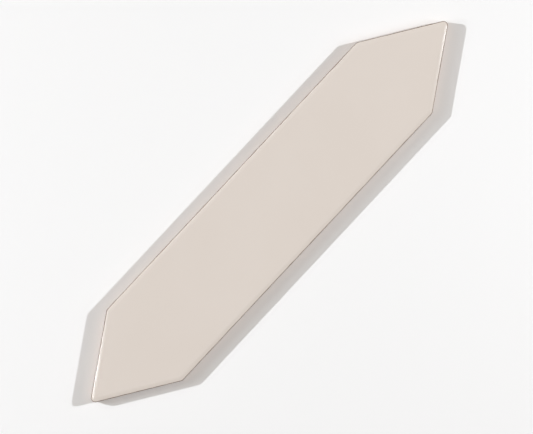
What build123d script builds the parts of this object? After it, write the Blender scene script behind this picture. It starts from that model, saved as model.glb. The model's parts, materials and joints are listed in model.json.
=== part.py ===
from build123d import *
import math
import os

# A picket tile: a long flat ceramic bar with a point at each end, glazed on its upper face.
# It lies on its back. The origin is the middle of the back, +X runs along the tile to one tip,
# +Y runs across it and +Z points out of the glazed face.

# Sizes of the tile, in millimetres and degrees
length = 330.0  # over the two rounded tips
width = 66.0  # across the two long sides
thickness = 9.0  # from the back to the glazed face
point_angle = 66.0  # between the two short sides that meet at a tip
cushion_width = 2.6  # how far the sloped rim reaches in over the face
cushion_slope = 15.0  # how steeply the rim falls away from the face
edge_radius = 0.7  # round between the sloped rim and the upright sides
face_tip_radius = 0.1  # corner of the flat face at a tip, inside the rim
face_shoulder_radius = 1.0  # corner of the flat face at a shoulder, inside the rim
band_height = 3.0  # upright band below the rim, where tiles meet across a joint
draft_angle = 4.0  # lean of the sides below the band, which lets the tile leave its die
back_arris = 0.6  # chamfer all round the back

# Levels of the edge's section, from the back up
slope = math.radians(cushion_slope)
slope_run = cushion_width - edge_radius * (1 - math.sin(slope))
rim_level = thickness - slope_run * math.tan(slope) - edge_radius * math.cos(slope)
band_level = rim_level - band_height
draft_run = (band_level - back_arris) * math.tan(math.radians(draft_angle))
foot = cushion_width - draft_run

# Corners of the flat face before they are rounded
half_point = math.radians(point_angle) / 2
face_half_width = width / 2 - cushion_width
face_tip = length / 2 - cushion_width + face_tip_radius * (1 / math.sin(half_point) - 1)
face_shoulder = face_tip - face_half_width / math.tan(half_point)


def flat_face():
    """The level middle of the glazed face, a hexagon with rounded corners, drawn at the back's level."""
    outline = Polyline(
        (face_tip, 0),
        (face_shoulder, face_half_width),
        (-face_shoulder, face_half_width),
        (-face_tip, 0),
        (-face_shoulder, -face_half_width),
        (face_shoulder, -face_half_width),
        close=True,
    )
    hexagon = make_face(outline)
    tips = hexagon.vertices().filter_by(lambda corner: abs(corner.Y) < face_half_width / 2)
    hexagon = fillet(tips, face_tip_radius)
    shoulders = hexagon.vertices().filter_by(lambda corner: abs(corner.Y) > face_half_width / 2)
    return fillet(shoulders, face_shoulder_radius)


def edge_section():
    """Half of the tile's edge in section, from the flat face's outline (x 0) out to the sides."""
    back = Line((0, 0), (foot - back_arris, 0))
    arris = Line(back @ 1, (foot, back_arris))
    flank = Line(arris @ 1, (cushion_width, band_level))
    band = Line(flank @ 1, (cushion_width, rim_level))
    edge = CenterArc((cushion_width - edge_radius, rim_level), edge_radius, 0, 90 - cushion_slope)
    rim = Line(edge @ 1, (0, thickness))
    inside = Line(rim @ 1, back @ 0)
    return make_face([back, arris, flank, band, edge, rim, inside])


def picket_tile():
    """The flat middle of the tile with its edge section carried all the way round it."""
    middle = flat_face()
    path = middle.wire()
    along = path % 0
    outward = along.cross(Vector(0, 0, 1))
    section_plane = Plane(origin=path @ 0, x_dir=outward, z_dir=-along)
    edge = sweep(section_plane * edge_section(), path=path)
    return extrude(middle, thickness) + edge


os.makedirs("parts", exist_ok=True)
export_step(picket_tile(), "parts/picket_tile.step")
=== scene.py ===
import json
import math

import bmesh
import bpy
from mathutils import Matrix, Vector


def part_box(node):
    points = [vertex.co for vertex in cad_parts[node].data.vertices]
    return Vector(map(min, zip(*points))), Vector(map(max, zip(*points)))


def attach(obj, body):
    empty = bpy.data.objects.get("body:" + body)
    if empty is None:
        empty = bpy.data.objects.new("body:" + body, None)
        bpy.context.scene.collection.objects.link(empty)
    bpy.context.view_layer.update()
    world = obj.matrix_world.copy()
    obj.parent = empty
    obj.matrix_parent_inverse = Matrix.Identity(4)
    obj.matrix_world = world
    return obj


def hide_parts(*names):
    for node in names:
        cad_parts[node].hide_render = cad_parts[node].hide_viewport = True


bl_info = {
    "name": "Picket tile",
    "version": (1, 0, 0),
    "blender": (4, 5, 0),
    "location": "View3D > Sidebar > Picket tile",
    "description": "Models a glazed picket tile and sets the stage that it is shown on",
    "category": "Object",
}

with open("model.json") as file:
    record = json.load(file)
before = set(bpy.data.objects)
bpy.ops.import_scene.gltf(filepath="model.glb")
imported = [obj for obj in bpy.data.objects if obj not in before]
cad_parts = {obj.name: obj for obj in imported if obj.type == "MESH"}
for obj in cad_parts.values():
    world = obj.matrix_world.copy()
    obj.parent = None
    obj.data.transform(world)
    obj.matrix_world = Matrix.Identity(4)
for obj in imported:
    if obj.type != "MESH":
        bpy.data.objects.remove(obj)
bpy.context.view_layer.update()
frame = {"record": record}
tile_low, tile_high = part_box("picket_tile")
glaze_of_record = next(m for m in frame["record"]["materials"] if m["slot"] == "glaze")

MILLIMETRE = 0.001
TINY = 1e-6  # two heights closer than this are the same level

# How finely the tile's mesh is divided
TIP_STEPS = 11  # straight bits in half of a tip's round
SHOULDER_STEPS = 6  # straight bits in a shoulder's round
EDGE_STEPS = 10  # bands over the round between the upright side and the sloped rim
EASE_STEPS = 6  # bands over the ease between the sloped rim and the level face
LONG_SIDE_CELLS = 78  # columns along half of a long side
SHORT_SIDE_CELLS = 36  # columns along a short side
FACE_CELL_COLUMNS = 3  # columns of the long side to each square of the face
FACE_MARGIN = 0.1 * MILLIMETRE  # plain strip between the rim and the squares of the face
TIP_CLOSE = 0.25 * MILLIMETRE  # points of a tip's round closer than this are drawn together
FLOOR_GAP = 0.05 * MILLIMETRE  # the floor lies this far under the tile

FACING = 0.9  # a face whose normal leans up or down by this share or more counts as level
SMOOTH_ANGLE = math.radians(30)  # corners flatter than this are shaded smooth

# The lip that ends the glaze, in shares of the glaze's film
LIP_ROUND_INSET = 0.3
LIP_ROUND_DROP = 0.5
LIP_FOOT_INSET = 0.7
LIP_FOOT_DROP = 0.3

# The slow waves of the face and of the glaze's lower edge
SWELL_FEATURE = 35 * MILLIMETRE
WAVER_FEATURE = 9 * MILLIMETRE
WAVE_DEPTH = 2  # how often the noise is laid over itself at half the size
ONLY_DOWN = 1.0  # middle of the noise that lets points move down alone
BOTH_WAYS = 0.5  # middle of the noise that lets points move up and down

# The glaze's pattern
NOISE_LOW = 0.3  # most of a noise lies between these two values
NOISE_HIGH = 0.7
CLOUD_FEATURE = 45 * MILLIMETRE
CLOUD_LOW = 0.35
CLOUD_HIGH = 0.65
WANDER_FEATURE = 5 * MILLIMETRE
WANDER = 0.04 * MILLIMETRE  # how far the painted shade along the rim's outer edge wanders up and down
EDGE_TOP_ENDS = 0.62 * MILLIMETRE  # heights of the painted shade along the rim's outer edge, above the foot of the rim
EDGE_TOP_FULL = 0.54 * MILLIMETRE
EDGE_FOOT_FULL = -0.3 * MILLIMETRE
EDGE_FOOT_ENDS = -0.9 * MILLIMETRE
SIDE_STARTS = 0.3 * MILLIMETRE  # the thin side glaze's heights above the foot of the rim
SIDE_FULL = -0.3 * MILLIMETRE
GLOSS_FEATURE = 12 * MILLIMETRE
GLAZE_ROUGHNESS = 0.14
GLAZE_ROUGHEST = 0.16
EDGE_ROUGHNESS = 0.55
PEEL_FEATURE = 2.5 * MILLIMETRE
PEEL_HEIGHT = 0.01 * MILLIMETRE
PEEL_STRENGTH = 0.2
GLAZE_IOR = 1.6
NOISE_DETAIL = 3
PEEL_DETAIL = 2

# The bare body's pattern
STAIN_FEATURE = 14 * MILLIMETRE
STAIN_HIGH = 0.8
STAIN_SHARE = 0.25  # how much of the grain's colour the stains take on
GRAIN_FEATURE = 0.9 * MILLIMETRE
GRAIN_FULL = 0.15  # distance from a cell's middle, in cells, that a grain fills
GRAIN_ENDS = 0.4
GRAIN_NONE = 0.65  # cells whose tint lies below this have no grain
GRAIN_SURE = 0.75
ROUGH_FEATURE = 3 * MILLIMETRE
BISCUIT_ROUGHNESS = 0.8
BISCUIT_ROUGHEST = 0.95
POWDER_FEATURE = 0.5 * MILLIMETRE
POWDER_HEIGHT = 0.06 * MILLIMETRE
POWDER_STRENGTH = 0.6
BODY_DETAIL = 4

# The floor's paint
FLOOR_ROUGHNESS = 0.9
FLOOR_SPECULAR = 0.1

# Places of the colours among the sockets of a Mix node
FIRST_COLOUR = 6
SECOND_COLOUR = 7
MIXED_COLOUR = 2

PHOTO_WIDTH = 533  # width of the photograph's frame, in pixels


class PicketTileSizes(bpy.types.PropertyGroup):
    """Sizes of the tile's body and of the glaze on it"""

    length: bpy.props.FloatProperty(
        name="Length",
        description="Over the two rounded tips",
        default=tile_high.x - tile_low.x,
        unit="LENGTH",
    )
    width: bpy.props.FloatProperty(
        name="Width",
        description="Across the two long sides",
        default=tile_high.y - tile_low.y,
        unit="LENGTH",
    )
    thickness: bpy.props.FloatProperty(
        name="Thickness",
        description="From the back to the glazed face",
        default=tile_high.z - tile_low.z,
        unit="LENGTH",
    )
    point_angle: bpy.props.FloatProperty(
        name="Point angle",
        description="Between the two short sides that meet at a tip",
        default=math.radians(66),
        subtype="ANGLE",
    )
    tip_radius: bpy.props.FloatProperty(
        name="Tip radius",
        description="Round of the outline at a tip",
        default=2.7 * MILLIMETRE,
        unit="LENGTH",
    )
    shoulder_radius: bpy.props.FloatProperty(
        name="Shoulder radius",
        description="Round of the outline where a short side meets a long one",
        default=3.6 * MILLIMETRE,
        unit="LENGTH",
    )
    cushion_width: bpy.props.FloatProperty(
        name="Rim width",
        description="How far the sloped rim reaches in over the face",
        default=2.6 * MILLIMETRE,
        unit="LENGTH",
    )
    cushion_slope: bpy.props.FloatProperty(
        name="Rim slope",
        description="How steeply the rim falls away from the face",
        default=math.radians(15),
        subtype="ANGLE",
    )
    edge_radius: bpy.props.FloatProperty(
        name="Edge radius",
        description="Round between the sloped rim and the upright sides",
        default=0.7 * MILLIMETRE,
        unit="LENGTH",
    )
    face_ease: bpy.props.FloatProperty(
        name="Face ease",
        description="How far the glaze eases the corner between rim and face, to each side of it",
        default=0.75 * MILLIMETRE,
        unit="LENGTH",
    )
    band_height: bpy.props.FloatProperty(
        name="Side band",
        description="Upright band below the rim, where tiles meet across a joint",
        default=3.0 * MILLIMETRE,
        unit="LENGTH",
    )
    draft_angle: bpy.props.FloatProperty(
        name="Draft",
        description="Lean of the sides below the band",
        default=math.radians(4),
        subtype="ANGLE",
    )
    back_arris: bpy.props.FloatProperty(
        name="Back arris",
        description="Chamfer all round the back",
        default=0.6 * MILLIMETRE,
        unit="LENGTH",
    )
    glaze_film: bpy.props.FloatProperty(
        name="Glaze film",
        description="How far the glaze stands proud of the bare body at its lower edge",
        default=0.12 * MILLIMETRE,
        unit="LENGTH",
    )
    glaze_waver: bpy.props.FloatProperty(
        name="Glaze waver",
        description="How far the lower edge of the glaze wanders up and down",
        default=1.6 * MILLIMETRE,
        unit="LENGTH",
    )
    face_swell: bpy.props.FloatProperty(
        name="Face swell",
        description="Depth of the slow waves in the glazed face",
        default=0.08 * MILLIMETRE,
        unit="LENGTH",
    )


class PicketTileFinish(bpy.types.PropertyGroup):
    """Colours of the glaze and of the bare body, and of the painted shade along the rim's outer edge"""

    glaze_colour: bpy.props.FloatVectorProperty(
        name="Glaze",
        description="Colour of the glaze over the face",
        default=glaze_of_record["base_color"],
        subtype="COLOR",
        min=0,
        max=1,
    )
    deep_glaze_colour: bpy.props.FloatVectorProperty(
        name="Deep glaze",
        description="Colour of the glaze where it lies a little thicker",
        default=(0.713, 0.640, 0.579),
        subtype="COLOR",
        min=0,
        max=1,
    )
    side_glaze_colour: bpy.props.FloatVectorProperty(
        name="Side glaze",
        description="Colour of the thin wash of glaze down the sides",
        default=(0.48, 0.385, 0.305),
        subtype="COLOR",
        min=0,
        max=1,
    )
    # Painted shade: a dark brown along the rim's outer edge that stands in for the shade falling on the
    # rim's steep outer side
    painted_shade_edge_colour: bpy.props.FloatVectorProperty(
        name="Edge",
        description="Colour along the rim's outer edge, where the glaze draws off it",
        default=(0.17, 0.112, 0.076),
        subtype="COLOR",
        min=0,
        max=1,
    )
    biscuit_colour: bpy.props.FloatVectorProperty(
        name="Biscuit",
        description="Colour of the bare fired body on the lower sides and the back",
        default=(0.46, 0.30, 0.20),
        subtype="COLOR",
        min=0,
        max=1,
    )
    grain_colour: bpy.props.FloatVectorProperty(
        name="Grain",
        description="Colour of the darker grains in the bare body",
        default=(0.28, 0.16, 0.10),
        subtype="COLOR",
        min=0,
        max=1,
    )


class PicketTileStage(bpy.types.PropertyGroup):
    """The floor, the two main lamps, the three strip lamps, the light all round and the camera"""

    floor_colour: bpy.props.FloatVectorProperty(
        name="Floor",
        description="Colour of the floor",
        default=(0.94, 0.94, 0.94),
        subtype="COLOR",
        min=0,
        max=1,
    )
    floor_size: bpy.props.FloatProperty(
        name="Floor size",
        description="Length of a side of the floor",
        default=30.0,
        unit="LENGTH",
    )
    lamp_distance: bpy.props.FloatProperty(
        name="Lamp distance",
        description="From the tile to each of the two main lamps, and to the long side's strip lamp",
        default=5.0,
        unit="LENGTH",
    )
    lamp_size: bpy.props.FloatProperty(
        name="Lamp size",
        description="Width of each of the two main lamps, which are round",
        default=0.10,
        unit="LENGTH",
    )
    lamp_colour: bpy.props.FloatVectorProperty(
        name="Lamp colour",
        description="Colour of all the lamps, which makes up for the warm light all round",
        default=(0.92, 0.954, 0.987),
        subtype="COLOR",
        min=0,
        max=1,
    )
    left_height: bpy.props.FloatProperty(
        name="Left height",
        description="Angle of the left lamp above the floor, seen from the tile",
        default=math.radians(34.2),
        subtype="ANGLE",
    )
    left_swing: bpy.props.FloatProperty(
        name="Left swing",
        description="How far the left lamp stands towards the top of the picture",
        default=math.radians(11.5),
        subtype="ANGLE",
    )
    left_light: bpy.props.FloatProperty(
        name="Left light",
        description="Light of the left lamp on the floor, where 1 shows a colour as written",
        default=0.365,
    )
    right_height: bpy.props.FloatProperty(
        name="Right height",
        description="Angle of the right lamp above the floor, seen from the tile",
        default=math.radians(33.3),
        subtype="ANGLE",
    )
    right_swing: bpy.props.FloatProperty(
        name="Right swing",
        description="How far the right lamp stands towards the top of the picture",
        default=math.radians(11.6),
        subtype="ANGLE",
    )
    right_light: bpy.props.FloatProperty(
        name="Right light",
        description="Light of the right lamp on the floor, where 1 shows a colour as written",
        default=0.338,
    )
    glint_width: bpy.props.FloatProperty(
        name="Glint width",
        description="Width of the strip lamp of a short side",
        default=0.03,
        unit="LENGTH",
    )
    glint_slope: bpy.props.FloatProperty(
        name="Glint slope",
        description="Slope of the rim where it glints",
        default=math.radians(23.6),
        subtype="ANGLE",
    )
    glint_span: bpy.props.FloatProperty(
        name="Glint span",
        description="How tall a strip lamp looks from the tile",
        default=math.radians(31.7),
        subtype="ANGLE",
    )
    left_glint_distance: bpy.props.FloatProperty(
        name="Left glint distance",
        description="From the left tip's rim to the strip lamp that makes it glint",
        default=0.95,
        unit="LENGTH",
    )
    left_glint_inset: bpy.props.FloatProperty(
        name="Left glint inset",
        description="From the left tip along the short side to where the rim glints most",
        default=6 * MILLIMETRE,
        unit="LENGTH",
    )
    left_glint_light: bpy.props.FloatProperty(
        name="Left glint light",
        description="Light of the left strip lamp on the floor, where 1 shows a colour as written",
        default=0.142,
    )
    right_glint_distance: bpy.props.FloatProperty(
        name="Right glint distance",
        description="From the right tip's rim to the strip lamp that makes it glint",
        default=0.6,
        unit="LENGTH",
    )
    right_glint_inset: bpy.props.FloatProperty(
        name="Right glint inset",
        description="From the right tip along the short side to where the rim glints most",
        default=4 * MILLIMETRE,
        unit="LENGTH",
    )
    right_glint_light: bpy.props.FloatProperty(
        name="Right glint light",
        description="Light of the right strip lamp on the floor, where 1 shows a colour as written",
        default=0.128,
    )
    long_glint_width: bpy.props.FloatProperty(
        name="Long glint width",
        description="Width of the strip lamp that makes the left long side glint",
        default=0.6,
        unit="LENGTH",
    )
    long_glint_light: bpy.props.FloatProperty(
        name="Long glint light",
        description="Light of that strip lamp on the floor, where 1 shows a colour as written",
        default=0.032,
    )
    sky_colour: bpy.props.FloatVectorProperty(
        name="Colour all round",
        description="Colour of the light from all round",
        default=(1.0, 0.75, 0.52),
        subtype="COLOR",
        min=0,
        max=1,
    )
    sky_light: bpy.props.FloatProperty(
        name="Light all round",
        description="Light from all round on the floor, where 1 shows a colour as written",
        default=0.145,
    )
    backdrop: bpy.props.FloatProperty(
        name="Backdrop",
        description="Brightness of what is seen beyond the floor",
        default=0.93,
    )
    lens: bpy.props.FloatProperty(
        name="Lens",
        description="Focal length of the camera in millimetres",
        default=600.0,
    )
    pixel: bpy.props.FloatProperty(
        name="Pixel",
        description="Width of one pixel of the photograph on the tile's face",
        default=0.636 * MILLIMETRE,
        unit="LENGTH",
    )
    tile_turn: bpy.props.FloatProperty(
        name="Tile turn",
        description="Angle of the tile's length in the picture, up from level",
        default=math.radians(46.94),
        subtype="ANGLE",
    )
    tile_right: bpy.props.FloatProperty(
        name="Tile to the right",
        description="How far right of the picture's middle the tile's middle is, in pixels",
        default=2.9,
    )
    tile_up: bpy.props.FloatProperty(
        name="Tile up",
        description="How far above the picture's middle the tile's middle is, in pixels",
        default=5.36,
    )


def select_faces(wanted):
    """Selects the faces that pass a test in the mesh being edited, and nothing else."""
    bpy.ops.mesh.select_mode(type="FACE")
    bpy.ops.mesh.select_all(action="DESELECT")
    mesh = bpy.context.edit_object.data
    for face in bmesh.from_edit_mesh(mesh).faces:
        if wanted(face):
            face.select_set(True)
    bmesh.update_edit_mesh(mesh)


def select_edges(wanted):
    """Selects the edges that pass a test in the mesh being edited, and nothing else."""
    bpy.ops.mesh.select_mode(type="EDGE")
    bpy.ops.mesh.select_all(action="DESELECT")
    mesh = bpy.context.edit_object.data
    for edge in bmesh.from_edit_mesh(mesh).edges:
        if wanted(edge):
            edge.select_set(True)
    bmesh.update_edit_mesh(mesh)


def select_points(wanted):
    """Selects the points that pass a test in the mesh being edited, and nothing else."""
    bpy.ops.mesh.select_mode(type="VERT")
    bpy.ops.mesh.select_all(action="DESELECT")
    mesh = bpy.context.edit_object.data
    for point in bmesh.from_edit_mesh(mesh).verts:
        if wanted(point.co):
            point.select_set(True)
    bmesh.update_edit_mesh(mesh)


def group_between(tile, name, low, high):
    """Puts the points between two levels of the mesh being edited into a vertex group."""
    select_points(lambda place: low - TINY < place.z < high + TINY)
    bpy.ops.object.vertex_group_add()
    tile.vertex_groups.active.name = name
    bpy.ops.object.vertex_group_assign()


def reach_to(here, there):
    """Draws a straight edge from the selected point to another place."""
    bpy.ops.mesh.extrude_region_move(TRANSFORM_OT_translate={"value": there - here})


def divide_edges(longer_than, shorter_than, cuts):
    """Divides the edges of a range of lengths evenly."""
    select_edges(lambda edge: longer_than < edge.calc_length() < shorter_than)
    bpy.ops.mesh.subdivide(number_cuts=cuts)


def rim_level(sizes):
    """Level where the upright band ends and the rim begins."""
    slope = sizes.cushion_slope
    run = sizes.cushion_width - sizes.edge_radius * (1 - math.sin(slope))
    return sizes.thickness - run * math.tan(slope) - sizes.edge_radius * math.cos(slope)


def rim_profile(sizes):
    """The rim in section, from the band up to the face: how far in from the side, and at what level."""
    slope = sizes.cushion_slope
    bottom = rim_level(sizes)
    points = []
    for step in range(EDGE_STEPS + 1):
        turn = (math.pi / 2 - slope) * step / EDGE_STEPS
        inset = sizes.edge_radius * (1 - math.cos(turn))
        points.append((inset, bottom + sizes.edge_radius * math.sin(turn)))
    ease_radius = sizes.face_ease / math.tan(slope / 2)
    ease_end = sizes.cushion_width + sizes.face_ease
    for step in range(EASE_STEPS + 1):
        turn = slope * (1 - step / EASE_STEPS)
        inset = ease_end - ease_radius * math.sin(turn)
        points.append((inset, sizes.thickness - ease_radius * (1 - math.cos(turn))))
    return points


def add_band(sizes):
    """The tile's upright band: a quarter of its outline is drawn, mirrored both ways, filled and raised."""
    half_point = sizes.point_angle / 2
    lean = math.pi / 2 - half_point
    level = rim_level(sizes) - sizes.band_height
    tip_middle = Vector((sizes.length / 2 - sizes.tip_radius, 0, level))
    sharp_tip = tip_middle.x + sizes.tip_radius / math.sin(half_point)
    shoulder_y = sizes.width / 2 - sizes.shoulder_radius
    shoulder_x = sharp_tip - sizes.shoulder_radius / math.sin(half_point) - shoulder_y / math.tan(half_point)
    shoulder_middle = Vector((shoulder_x, shoulder_y, level))
    outward = Vector((math.cos(lean), math.sin(lean), 0))
    short_start = tip_middle + outward * sizes.tip_radius
    short_end = shoulder_middle + outward * sizes.shoulder_radius
    long_start = Vector((shoulder_x, sizes.width / 2, level))
    long_middle = Vector((0, sizes.width / 2, level))

    bpy.ops.object.select_all(action="DESELECT")
    bpy.ops.mesh.primitive_plane_add(size=sizes.tip_radius, location=(sizes.length / 2, 0, level))
    tile = bpy.context.object
    tile.name = "glazed_tile"
    bpy.ops.object.transform_apply(location=True, rotation=True, scale=True)
    bpy.ops.object.mode_set(mode="EDIT")
    bpy.ops.mesh.merge(type="CENTER")
    bpy.ops.mesh.spin(steps=TIP_STEPS, angle=-lean, center=tip_middle, axis=(0, 0, 1))
    reach_to(short_start, short_end)
    bpy.ops.mesh.spin(steps=SHOULDER_STEPS, angle=-half_point, center=shoulder_middle, axis=(0, 0, 1))
    reach_to(long_start, long_middle)
    short_side = (short_end - short_start).length
    divide_edges(shoulder_x - TINY, sizes.length, LONG_SIDE_CELLS - 1)
    divide_edges(short_side - TINY, short_side + TINY, SHORT_SIDE_CELLS - 1)

    bpy.ops.object.mode_set(mode="OBJECT")
    mirror = tile.modifiers.new("both_ways", "MIRROR")
    mirror.use_axis = (True, True, False)
    mirror.merge_threshold = TINY
    bpy.ops.object.modifier_apply(modifier=mirror.name)
    bpy.ops.object.mode_set(mode="EDIT")
    bpy.ops.mesh.select_all(action="SELECT")
    bpy.ops.mesh.edge_face_add()
    bpy.ops.mesh.extrude_region_move(TRANSFORM_OT_translate={"value": (0, 0, sizes.band_height)})
    bpy.ops.mesh.select_all(action="SELECT")
    bpy.ops.mesh.normals_make_consistent(inside=False)
    return tile, shoulder_x


def select_top(level):
    """Selects the level face that closes the mesh at its top."""
    select_faces(lambda face: face.normal.z > FACING and abs(face.calc_center_median().z - level) < TINY)


def close_the_tips(level):
    """Draws the round of each tip together in one point, where the rim has used it up."""
    select_points(lambda place: abs(place.z - level) < TINY and abs(place.y) < TIP_CLOSE)
    bpy.ops.mesh.remove_doubles(threshold=TIP_CLOSE)
    select_top(level)


def round_the_rim(sizes):
    """Rolls the top of the band over to the sloped rim, and eases that into the level face."""
    profile = rim_profile(sizes)
    select_top(profile[0][1])
    for (inset, level), (next_inset, next_level) in zip(profile, profile[1:]):
        bpy.ops.mesh.inset(thickness=next_inset - inset, depth=next_level - level)
        if inset < sizes.cushion_width <= next_inset:
            close_the_tips(next_level)
    bpy.ops.mesh.inset(thickness=FACE_MARGIN, depth=0)


def grid_the_face(shoulder_x, reach_x, reach_y):
    """Cuts the selected level face into squares."""
    cell = shoulder_x * FACE_CELL_COLUMNS / LONG_SIDE_CELLS
    bpy.ops.mesh.hide(unselected=True)
    for reach, normal in ((reach_x, Vector((1, 0, 0))), (reach_y, Vector((0, 1, 0)))):
        most = int(reach / cell)
        for number in range(-most, most + 1):
            bpy.ops.mesh.select_all(action="SELECT")
            bpy.ops.mesh.bisect(plane_co=normal * cell * number, plane_no=normal, threshold=TINY)
    bpy.ops.mesh.reveal(select=False)


def finish_the_underside(tile, sizes):
    """Ends the glaze in a rounded lip, then draws the bare body in to the back."""
    band_level = rim_level(sizes) - sizes.band_height
    draft_run = (band_level - sizes.back_arris) * math.tan(sizes.draft_angle)
    select_faces(lambda face: face.normal.z < -FACING and face.calc_center_median().z < band_level + TINY)
    lip = sizes.glaze_film
    bpy.ops.mesh.inset(thickness=lip * LIP_ROUND_INSET, depth=lip * LIP_ROUND_DROP)
    bpy.ops.mesh.inset(thickness=lip * LIP_FOOT_INSET, depth=lip * LIP_FOOT_DROP)
    tile.active_material_index = 1
    bpy.ops.object.material_slot_assign()
    lip_level = band_level - lip * (LIP_ROUND_DROP + LIP_FOOT_DROP)
    bpy.ops.mesh.inset(thickness=draft_run - lip, depth=lip_level - sizes.back_arris)
    bpy.ops.mesh.inset(thickness=sizes.back_arris, depth=sizes.back_arris)
    return band_level, lip_level


def displace(tile, name, group, feature, strength, middle):
    """Moves a group of points up and down by soft noise, for good."""
    noise = bpy.data.textures.new(name, "CLOUDS")
    noise.noise_scale = feature
    noise.noise_depth = WAVE_DEPTH
    waves = tile.modifiers.new(name, "DISPLACE")
    waves.texture = noise
    waves.texture_coords = "LOCAL"
    waves.direction = "Z"
    waves.vertex_group = group
    waves.strength = strength
    waves.mid_level = middle
    bpy.ops.object.modifier_apply(modifier=name)
    bpy.data.textures.remove(noise)


class Pattern:
    """Adds nodes to one material and joins them up."""

    def __init__(self, name):
        self.material = bpy.data.materials.new(name)
        self.material.use_nodes = True
        self.nodes = self.material.node_tree.nodes
        self.links = self.material.node_tree.links
        self.shader = self.nodes["Principled BSDF"]
        self.place = self.nodes.new("ShaderNodeTexCoord").outputs["Object"]

    def noise(self, feature, detail):
        """Soft noise whose blotches are of a given size."""
        node = self.nodes.new("ShaderNodeTexNoise")
        node.inputs["Scale"].default_value = 1 / feature
        node.inputs["Detail"].default_value = detail
        self.links.new(self.place, node.inputs["Vector"])
        return node.outputs["Fac"]

    def cells(self, feature):
        """Cells of a given size: the distance from a cell's middle, and its tint."""
        node = self.nodes.new("ShaderNodeTexVoronoi")
        node.inputs["Scale"].default_value = 1 / feature
        self.links.new(self.place, node.inputs["Vector"])
        return node.outputs["Distance"], node.outputs["Color"]

    def height(self):
        """Height above the back."""
        node = self.nodes.new("ShaderNodeSeparateXYZ")
        self.links.new(self.place, node.inputs["Vector"])
        return node.outputs["Z"]

    def spread(self, value, low, high, to_low=0.0, to_high=1.0):
        """Stretches one range of a value to another, and holds it at the ends."""
        node = self.nodes.new("ShaderNodeMapRange")
        node.inputs["From Min"].default_value = low
        node.inputs["From Max"].default_value = high
        node.inputs["To Min"].default_value = to_low
        node.inputs["To Max"].default_value = to_high
        self.links.new(value, node.inputs["Value"])
        return node.outputs["Result"]

    def plus(self, first, second):
        """The sum of two values."""
        return self.reckon("ADD", first, second)

    def most(self, first, second):
        """The larger of two values."""
        return self.reckon("MAXIMUM", first, second)

    def times(self, first, second):
        """The product of two values."""
        return self.reckon("MULTIPLY", first, second)

    def reckon(self, operation, first, second):
        """One sum of two values."""
        node = self.nodes.new("ShaderNodeMath")
        node.operation = operation
        self.links.new(first, node.inputs[0])
        self.links.new(second, node.inputs[1])
        return node.outputs["Value"]

    def blend(self, share, first, second):
        """Goes from one colour to another as the share rises."""
        node = self.nodes.new("ShaderNodeMix")
        node.data_type = "RGBA"
        self.links.new(share, node.inputs["Factor"])
        for place, colour in ((FIRST_COLOUR, first), (SECOND_COLOUR, second)):
            if isinstance(colour, bpy.types.NodeSocket):
                self.links.new(colour, node.inputs[place])
            else:
                node.inputs[place].default_value = (*colour, 1)
        return node.outputs[MIXED_COLOUR]

    def bump(self, heights, distance, strength):
        """Fine relief from a pattern of heights."""
        node = self.nodes.new("ShaderNodeBump")
        node.inputs["Distance"].default_value = distance
        node.inputs["Strength"].default_value = strength
        self.links.new(heights, node.inputs["Height"])
        return node.outputs["Normal"]

    def give(self, socket, value):
        """Joins a value to the shader."""
        self.links.new(value, self.shader.inputs[socket])


def glaze_material(sizes, finish):
    """Gloss glaze: faintly clouded over the face, with painted shade in dark brown along the rim's outer
    edge, and thin down the sides.
    """
    glaze = Pattern("glaze")
    clouds = glaze.spread(glaze.noise(CLOUD_FEATURE, NOISE_DETAIL), CLOUD_LOW, CLOUD_HIGH)
    face = glaze.blend(clouds, finish.glaze_colour, finish.deep_glaze_colour)
    rim = rim_level(sizes)
    waves = glaze.noise(WANDER_FEATURE, NOISE_DETAIL)
    wander = glaze.spread(waves, NOISE_LOW, NOISE_HIGH, -WANDER, WANDER)
    level = glaze.plus(glaze.height(), wander)
    # Painted shade: the band along the rim's outer edge that takes the dark brown edge colour and a rougher
    # gloss
    upper = glaze.spread(level, rim + EDGE_TOP_ENDS, rim + EDGE_TOP_FULL)
    lower = glaze.spread(level, rim + EDGE_FOOT_ENDS, rim + EDGE_FOOT_FULL)
    edge = glaze.times(upper, lower)
    side = glaze.spread(level, rim + SIDE_STARTS, rim + SIDE_FULL)
    body = glaze.blend(side, face, finish.side_glaze_colour)
    glaze.give("Base Color", glaze.blend(edge, body, finish.painted_shade_edge_colour))
    patches = glaze.noise(GLOSS_FEATURE, NOISE_DETAIL)
    gloss = glaze.spread(patches, NOISE_LOW, NOISE_HIGH, GLAZE_ROUGHNESS, GLAZE_ROUGHEST)
    edge_gloss = glaze.spread(edge, 0.0, 1.0, GLAZE_ROUGHNESS, EDGE_ROUGHNESS)
    glaze.give("Roughness", glaze.most(gloss, edge_gloss))
    peel = glaze.noise(PEEL_FEATURE, PEEL_DETAIL)
    glaze.give("Normal", glaze.bump(peel, PEEL_HEIGHT, PEEL_STRENGTH))
    glaze.shader.inputs["IOR"].default_value = GLAZE_IOR
    return glaze.material


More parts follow.
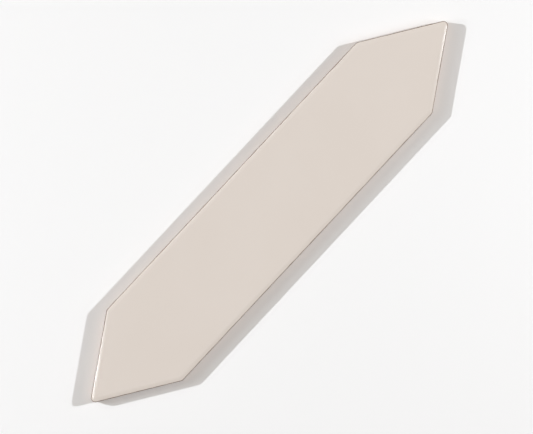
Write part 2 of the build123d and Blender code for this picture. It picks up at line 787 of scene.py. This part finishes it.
def biscuit_material(finish):
    """Bare fired clay: matte, finely grained, with scattered darker grains."""
    biscuit = Pattern("biscuit")
    clouds = biscuit.noise(STAIN_FEATURE, BODY_DETAIL)
    stains = biscuit.spread(clouds, NOISE_LOW, STAIN_HIGH, 0.0, STAIN_SHARE)
    body = biscuit.blend(stains, finish.biscuit_colour, finish.grain_colour)
    distance, tint = biscuit.cells(GRAIN_FEATURE)
    near = biscuit.spread(distance, GRAIN_FULL, GRAIN_ENDS, 1.0, 0.0)
    chosen = biscuit.spread(tint, GRAIN_NONE, GRAIN_SURE)
    grains = biscuit.times(near, chosen)
    biscuit.give("Base Color", biscuit.blend(grains, body, finish.grain_colour))
    patches = biscuit.noise(ROUGH_FEATURE, NOISE_DETAIL)
    rough = biscuit.spread(patches, NOISE_LOW, NOISE_HIGH, BISCUIT_ROUGHNESS, BISCUIT_ROUGHEST)
    biscuit.give("Roughness", rough)
    powder = biscuit.noise(POWDER_FEATURE, BODY_DETAIL)
    biscuit.give("Normal", biscuit.bump(powder, POWDER_HEIGHT, POWDER_STRENGTH))
    return biscuit.material


class PICKETTILE_OT_tile(bpy.types.Operator):
    """Model the tile's pressed body and the glaze over it"""

    bl_idname = "picket_tile.tile"
    bl_label = "Tile"

    def execute(self, context):
        sizes = context.scene.picket_tile_sizes
        finish = context.scene.picket_tile_finish
        tile, shoulder_x = add_band(sizes)
        tile.data.materials.append(glaze_material(sizes, finish))
        tile.data.materials.append(biscuit_material(finish))
        band_level, lip_level = finish_the_underside(tile, sizes)
        round_the_rim(sizes)
        grid_the_face(shoulder_x, sizes.length / 2, sizes.width / 2)
        group_between(tile, "glaze_top", rim_level(sizes), sizes.thickness)
        group_between(tile, "glaze_lip", lip_level, band_level)
        bpy.ops.object.mode_set(mode="OBJECT")
        displace(tile, "face_swell", "glaze_top", SWELL_FEATURE, sizes.face_swell, ONLY_DOWN)
        displace(tile, "glaze_waver", "glaze_lip", WAVER_FEATURE, sizes.glaze_waver, BOTH_WAYS)
        bpy.ops.object.shade_smooth_by_angle(angle=SMOOTH_ANGLE)
        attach(tile, "root")
        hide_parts("picket_tile")
        return {"FINISHED"}


def add_floor(stage):
    """A plain pale floor just under the tile."""
    bpy.ops.object.select_all(action="DESELECT")
    bpy.ops.mesh.primitive_plane_add(size=stage.floor_size, location=(0, 0, tile_low.z - FLOOR_GAP))
    floor = bpy.context.object
    floor.name = "floor"
    paint = bpy.data.materials.new("floor_paint")
    paint.use_nodes = True
    shader = paint.node_tree.nodes["Principled BSDF"]
    shader.inputs["Base Color"].default_value = (*stage.floor_colour, 1)
    shader.inputs["Roughness"].default_value = FLOOR_ROUGHNESS
    shader.inputs["Specular IOR Level"].default_value = FLOOR_SPECULAR
    floor.data.materials.append(paint)


def rising(toward, height):
    """The way out and up at an angle above the floor."""
    return toward * math.cos(height) + Vector((0, 0, math.sin(height)))


def mirrored(place, normal, eye):
    """The way from a place to what it mirrors into the eye."""
    view = (eye - place).normalized()
    return 2 * normal.dot(view) * normal - view


def add_lamp(name, aim, way, reach, width, height, light, colour):
    """A lamp that gives a set light on a level surface where it aims."""
    bpy.ops.object.light_add(type="AREA", location=aim + way * reach)
    lamp = bpy.context.object
    lamp.name = name
    lamp.rotation_euler = (-way).to_track_quat("-Z", "Y").to_euler()
    lamp.data.shape = "ELLIPSE"
    lamp.data.size = width
    lamp.data.size_y = height
    lamp.data.color = colour
    lamp.data.energy = light * math.pi**2 * reach**2 / way.z
    lamp.visible_camera = False
    return lamp


def add_glint(name, stage, place, outward, reach, width, light):
    """A tall strip lamp that the rim at one place mirrors into the camera."""
    normal = rising(outward, math.pi / 2 - stage.glint_slope)
    way = mirrored(place, normal, bpy.context.scene.camera.location)
    height = reach * math.tan(stage.glint_span)
    add_lamp(name, place, way, reach, width, height, light, stage.lamp_colour)


def light_all_round(stage):
    """Soft light from all sides, with a pale backdrop where it is seen or mirrored."""
    world = bpy.data.worlds.new("studio")
    bpy.context.scene.world = world
    world.use_nodes = True
    nodes = world.node_tree.nodes
    links = world.node_tree.links
    soft = nodes["Background"]
    soft.inputs["Color"].default_value = (*stage.sky_colour, 1)
    soft.inputs["Strength"].default_value = stage.sky_light
    seen = nodes.new("ShaderNodeBackground")
    seen.inputs["Color"].default_value = (1, 1, 1, 1)
    seen.inputs["Strength"].default_value = stage.backdrop
    rays = nodes.new("ShaderNodeLightPath")
    reflected = nodes.new("ShaderNodeMath")
    reflected.operation = "MAXIMUM"
    links.new(rays.outputs["Is Glossy Ray"], reflected.inputs[0])
    links.new(rays.outputs["Is Transmission Ray"], reflected.inputs[1])
    shown = nodes.new("ShaderNodeMath")
    shown.operation = "MAXIMUM"
    links.new(rays.outputs["Is Camera Ray"], shown.inputs[0])
    links.new(reflected.outputs["Value"], shown.inputs[1])
    pick = nodes.new("ShaderNodeMixShader")
    links.new(shown.outputs["Value"], pick.inputs["Fac"])
    links.new(soft.outputs["Background"], pick.inputs[1])
    links.new(seen.outputs["Background"], pick.inputs[2])
    links.new(pick.outputs["Shader"], nodes["World Output"].inputs["Surface"])


def add_camera(stage, middle, picture_right, picture_up):
    """A camera straight above the tile, with the tile turned and placed as in the photograph."""
    aside = -(picture_right * stage.tile_right + picture_up * stage.tile_up) * stage.pixel
    bpy.ops.object.camera_add(rotation=(0, 0, -stage.tile_turn))
    camera = bpy.context.object
    camera.name = "camera"
    camera.data.lens = stage.lens
    camera.data.clip_end = stage.floor_size
    distance = PHOTO_WIDTH * stage.pixel * stage.lens / camera.data.sensor_width
    camera.location = middle + aside + Vector((0, 0, distance))
    bpy.context.scene.camera = camera


def add_main_lamps(stage, middle, picture_right, picture_up):
    """Two small round lamps from the left and the right, which cast the shadows and make no glints."""
    left = -picture_right * math.cos(stage.left_swing) + picture_up * math.sin(stage.left_swing)
    right = picture_right * math.cos(stage.right_swing) + picture_up * math.sin(stage.right_swing)
    left_way = rising(left, stage.left_height)
    right_way = rising(right, stage.right_height)
    far = (stage.lamp_distance, stage.lamp_size, stage.lamp_size)
    left_lamp = add_lamp("left_lamp", middle, left_way, *far, stage.left_light, stage.lamp_colour)
    right_lamp = add_lamp("right_lamp", middle, right_way, *far, stage.right_light, stage.lamp_colour)
    left_lamp.visible_glossy = False
    right_lamp.visible_glossy = False


def add_strip_lamps(stage, point_angle, middle):
    """Three strip lamps, for the rim of a short side at each tip and of the left long side."""
    half_point = point_angle / 2
    tip = Vector((tile_high.x, 0, 0))
    along = Vector((-math.cos(half_point), -math.sin(half_point), 0))
    outward = Vector((math.sin(half_point), -math.cos(half_point), 0))
    left_place = middle - tip - along * stage.left_glint_inset
    right_place = middle + tip + along * stage.right_glint_inset
    long_place = middle + Vector((0, tile_high.y, 0))
    left_strip = (stage.left_glint_distance, stage.glint_width, stage.left_glint_light)
    right_strip = (stage.right_glint_distance, stage.glint_width, stage.right_glint_light)
    long_strip = (stage.lamp_distance, stage.long_glint_width, stage.long_glint_light)
    add_glint("left_glint", stage, left_place, -outward, *left_strip)
    add_glint("right_glint", stage, right_place, outward, *right_strip)
    add_glint("long_glint", stage, long_place, Vector((0, 1, 0)), *long_strip)


class PICKETTILE_OT_stage(bpy.types.Operator):
    """Set the floor, the camera, the lamps and the light all round"""

    bl_idname = "picket_tile.stage"
    bl_label = "Stage"

    def execute(self, context):
        stage = context.scene.picket_tile_stage
        turn = -stage.tile_turn
        picture_right = Vector((math.cos(turn), math.sin(turn), 0))
        picture_up = Vector((-math.sin(turn), math.cos(turn), 0))
        middle = Vector((0, 0, tile_high.z))
        add_floor(stage)
        add_camera(stage, middle, picture_right, picture_up)
        add_main_lamps(stage, middle, picture_right, picture_up)
        add_strip_lamps(stage, context.scene.picket_tile_sizes.point_angle, middle)
        light_all_round(stage)
        context.scene.view_settings.view_transform = "Standard"
        return {"FINISHED"}


class PICKETTILE_PT_panel(bpy.types.Panel):
    """Lists the tile, its finish and its stage"""

    bl_idname = "PICKETTILE_PT_panel"
    bl_label = "Picket tile"
    bl_space_type = "VIEW_3D"
    bl_region_type = "UI"
    bl_category = "Picket tile"

    def draw(self, context):
        scene = context.scene
        for operator, group in (
            (PICKETTILE_OT_tile, scene.picket_tile_sizes),
            (None, scene.picket_tile_finish),
            (PICKETTILE_OT_stage, scene.picket_tile_stage),
        ):
            column = self.layout.column()
            for name in group.__annotations__:
                column.prop(group, name)
            if operator:
                column.operator(operator.bl_idname)


GROUPS = {
    "picket_tile_sizes": PicketTileSizes,
    "picket_tile_finish": PicketTileFinish,
    "picket_tile_stage": PicketTileStage,
}
CLASSES = (*GROUPS.values(), PICKETTILE_OT_tile, PICKETTILE_OT_stage, PICKETTILE_PT_panel)


def register():
    """Makes the tile's values, operators and panel known to Blender."""
    for cls in CLASSES:
        bpy.utils.register_class(cls)
    for name, group in GROUPS.items():
        setattr(bpy.types.Scene, name, bpy.props.PointerProperty(type=group))


def unregister():
    """Takes them out again."""
    for name in GROUPS:
        delattr(bpy.types.Scene, name)
    for cls in reversed(CLASSES):
        bpy.utils.unregister_class(cls)


def main():
    """Models the tile and sets the stage."""
    register()
    bpy.ops.picket_tile.tile()
    bpy.ops.picket_tile.stage()


if __name__ == "__main__":
    main()
